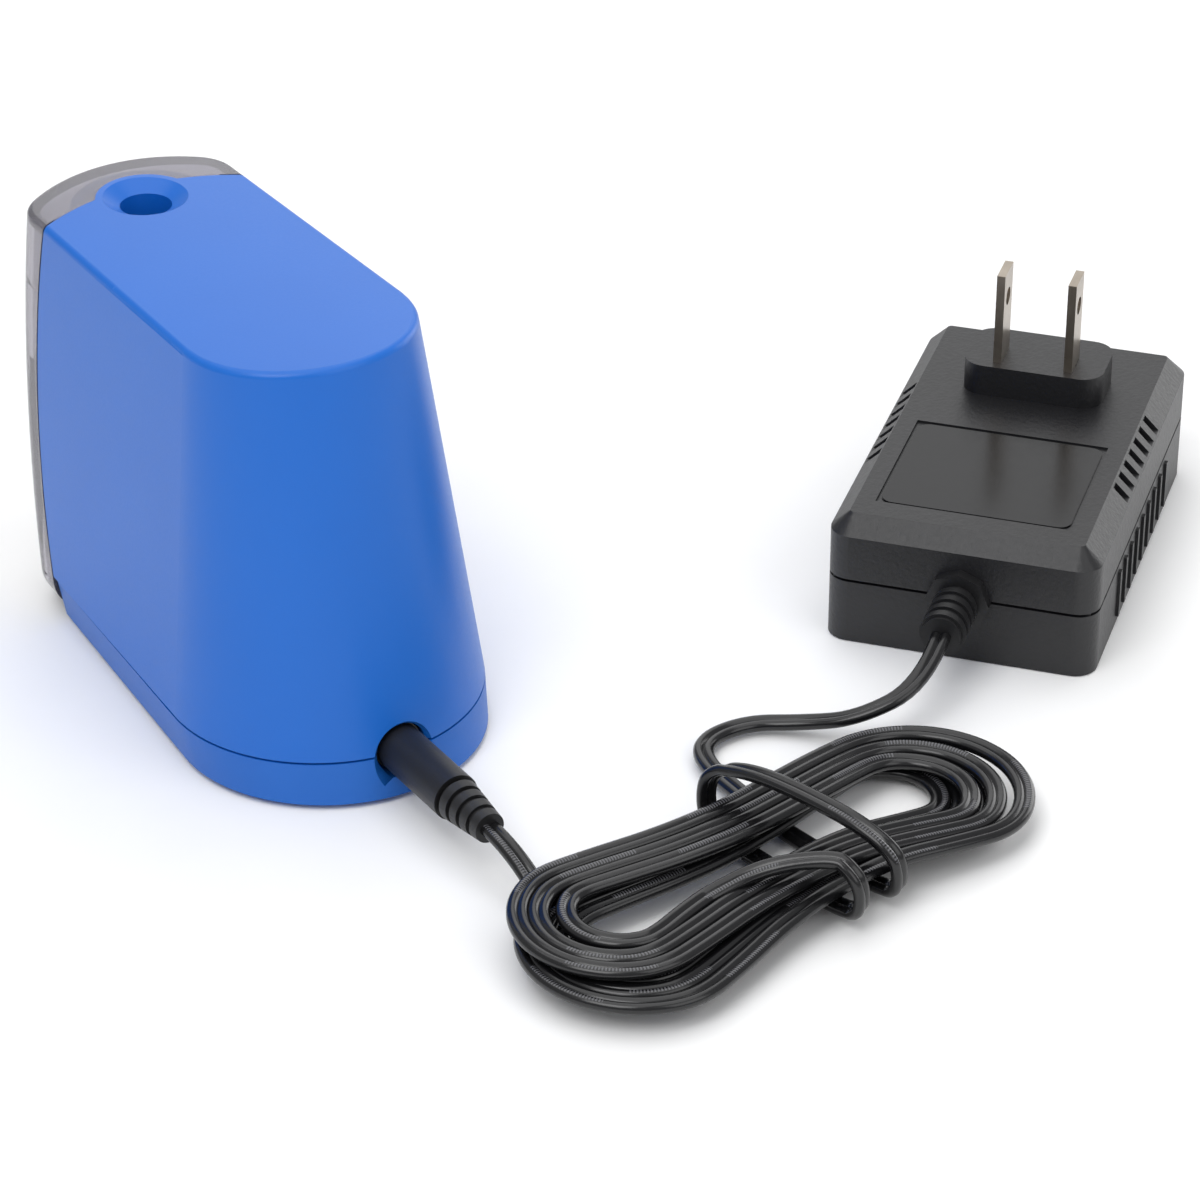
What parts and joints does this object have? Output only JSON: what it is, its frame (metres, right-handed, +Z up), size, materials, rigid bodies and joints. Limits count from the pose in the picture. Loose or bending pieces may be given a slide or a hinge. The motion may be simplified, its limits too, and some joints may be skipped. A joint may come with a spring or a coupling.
{
  "type": "electric pencil sharpener",
  "caption": "Upright electric pencil sharpener with a top pencil hole, smoky pull-off shavings receptacle, planetary helical cutter and a plug-in wall adapter on a coiled lead.",
  "frame": {"origin": "on the floor under the middle of the sharpener without its lead", "axes": "+Z up, receptacle towards -Y, power jack towards +Y, +X to the right of a viewer who faces the receptacle"},
  "size_m": [0.1999, 0.1804, 0.073],
  "materials": {
    "blue_plastic": "satin moulded ABS",
    "smoky_clear": "smoky clear polystyrene",
    "black_plastic": "fine texture",
    "white_plastic": "acetal gear plastic",
    "rubber": "matte",
    "steel": "machined",
    "zinc": "plated",
    "nickel": "nickel plate",
    "brass": "sintered",
    "cord_pvc": "glossy pvc",
    "board": "phenolic laminate",
    "core": "laminated"
  },
  "bodies": {
    "sharpener": {"housing": "blue_plastic", "base": "blue_plastic", "rubber_feet": "rubber", "base_screws": "zinc", "gear_frame": "black_plastic", "frame_screws": "zinc", "motor_screws": "zinc", "gear_cover": "black_plastic", "carrier_bush": "brass", "bulkhead": "black_plastic", "idler_pin": "steel", "motor_can": "zinc", "motor_end_bell": "white_plastic", "ring_gear": "zinc", "lever_pin": "steel", "pencil_switch": "black_plastic", "dc_jack": "black_plastic"},
    "bin": {"receptacle": "smoky_clear"},
    "cutter_cage": {"cutter_carrier": "zinc", "drive_gear": "white_plastic", "cutter_pin": "steel"},
    "cutter": {"helical_cutter": "steel"},
    "idler": {"idler_gear": "white_plastic"},
    "rotor": {"motor_shaft": "steel", "motor_pinion": "brass"},
    "lever": {"pencil_switch_lever": "white_plastic"},
    "button": {"switch_button": "white_plastic"},
    "power_lead": {"dc_plug": "black_plastic", "dc_plug_barrel": "nickel", "adapter_upper_case": "black_plastic", "adapter_lower_case": "black_plastic", "plug_blades": "nickel", "adapter_strain_relief": "black_plastic", "adapter_board": "board", "adapter_transformer": "core", "cord_hank": "cord_pvc", "cord_wrap": "cord_pvc", "cord_lead": "cord_pvc", "cord_tail": "cord_pvc"}
  },
  "joints": [
    {"name": "receptacle_pull", "type": "slide", "parent": "sharpener", "child": "bin", "axis": [0, -1, 0], "range_m": [0, 0.045]},
    {"name": "carrier_spin", "type": "hinge", "parent": "sharpener", "child": "cutter_cage", "pos_m": [0, -0.0338, 0.04], "axis": [0, 0, 1], "continuous": true},
    {"name": "cutter_spin", "type": "hinge", "parent": "cutter_cage", "child": "cutter", "pos_m": [0, -0.0338, 0.00534], "axis": [0, -0.1822, 0.9833], "continuous": true},
    {"name": "idler_spin", "type": "hinge", "parent": "sharpener", "child": "idler", "pos_m": [0, -0.0194, 0.058], "axis": [0, 0, 1], "continuous": true},
    {"name": "rotor_spin", "type": "hinge", "parent": "sharpener", "child": "rotor", "pos_m": [0, -0.0094, 0.04], "axis": [0, 0, 1], "continuous": true},
    {"name": "lever_swing", "type": "hinge", "parent": "sharpener", "child": "lever", "pos_m": [0.0105, -0.0264, 0.0674], "axis": [0, 0, 1], "range_deg": [-4, 0], "stiffness_Nm_per_rad": 0.02, "springref_deg": 2.86},
    {"name": "button_press", "type": "slide", "parent": "sharpener", "child": "button", "axis": [0, 1, 0], "range_m": [0, 0.0017]},
    {"name": "power_unplug", "type": "slide", "parent": "sharpener", "child": "power_lead", "axis": [0, 1, 0], "range_m": [0, 0.03]}
  ],
  "couplings": [
    {"joint": "cutter_spin", "follows": "carrier_spin", "ratio": -4},
    {"joint": "idler_spin", "follows": "carrier_spin", "ratio": -3},
    {"joint": "rotor_spin", "follows": "carrier_spin", "ratio": 9},
    {"joint": "button_press", "follows": "lever_swing", "m_per_rad": -0.0225}
  ]
}
